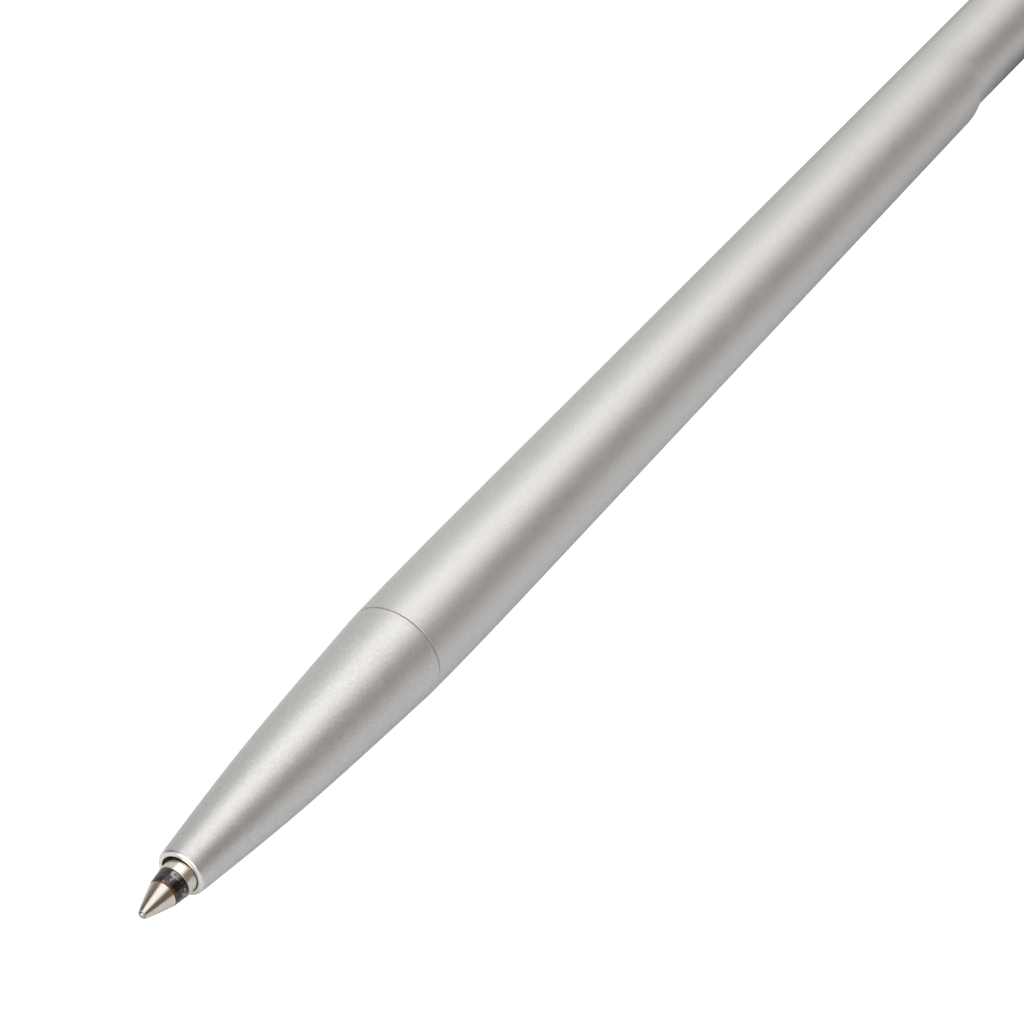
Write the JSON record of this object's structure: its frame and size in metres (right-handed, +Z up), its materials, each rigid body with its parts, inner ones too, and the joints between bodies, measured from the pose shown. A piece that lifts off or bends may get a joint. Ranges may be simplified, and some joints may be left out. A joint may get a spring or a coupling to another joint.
{
  "type": "technical pen",
  "caption": "Slim satin metal ball-point technical pen lying on its side, tapered nose cone, point out, rear twist knob and hinged clip.",
  "frame": {"origin": "centre of the footprint, on the surface that the pen lies on", "axes": "+X along the pen from the point to the rear knob, +Z up from the surface, the clip towards -Y and down"},
  "size_m": [0.151, 0.0087, 0.0068],
  "materials": {
    "satin_body": "bead-blasted and clear anodised, satin silver",
    "polished": "polished",
    "nickel_silver": "turned and polished nickel silver",
    "carbide": "ground tungsten carbide",
    "steel": "turned steel",
    "spring_steel": "drawn wire",
    "brass": "turned brass",
    "rubber": "matt black",
    "smoke": "glossy smoke plastic, dark with the ink behind it",
    "ink": "black ink",
    "grease": "clear grease",
    "nylon": "natural nylon"
  },
  "bodies": {
    "barrel": {"barrel_tube": "satin_body", "nose_cone": "satin_body", "thread_bush": "brass", "seal_ring": "rubber", "spring_seat": "steel", "return_spring": "spring_steel", "guide_sleeve": "brass", "stop_ring": "steel", "rear_bush": "brass", "trim_ring": "polished", "clip_block": "steel", "clip_rivet": "steel", "clip_pin": "steel"},
    "refill": {"point_cone": "nickel_silver", "tip_holder": "smoke", "front_sleeve": "nickel_silver", "refill_tube": "nickel_silver", "ink": "ink", "ink_follower": "grease", "tail_plug": "nylon", "spring_stop": "steel", "carrier": "nylon", "follower_pin": "steel"},
    "ball": {"point_ball": "carbide"},
    "knob": {"cam_sleeve": "brass", "knob_shaft": "steel", "drag_ring": "rubber", "knob_shell": "satin_body", "knob_end_disc": "polished"},
    "clip": {"clip_arm": "satin_body", "clip_spring": "spring_steel"}
  },
  "joints": [
    {"name": "knob_twist", "type": "hinge", "parent": "barrel", "child": "knob", "pos_m": [0.0715, 0.00098, 0.0034], "axis": [1, 0, 0], "range_deg": [0, 180]},
    {"name": "refill_slide", "type": "slide", "parent": "barrel", "child": "refill", "axis": [1, 0, 0], "range_m": [0, 0.005], "deforming": ["return_spring"]},
    {"name": "ball_roll", "type": "hinge", "parent": "refill", "child": "ball", "pos_m": [-0.07525, 0.00098, 0.0034], "axis": [0, 1, 0], "continuous": true},
    {"name": "clip_swing", "type": "hinge", "parent": "barrel", "child": "clip", "pos_m": [0.0638, -0.00279, 0.0018], "axis": [0, -0.3899, 0.9209], "range_deg": [0, 8], "stiffness_Nm_per_rad": 0.004, "springref_deg": -2.86, "deforming": ["clip_spring"]}
  ],
  "couplings": [
    {"joint": "refill_slide", "follows": "knob_twist", "m_per_rad": 0.0015915}
  ]
}
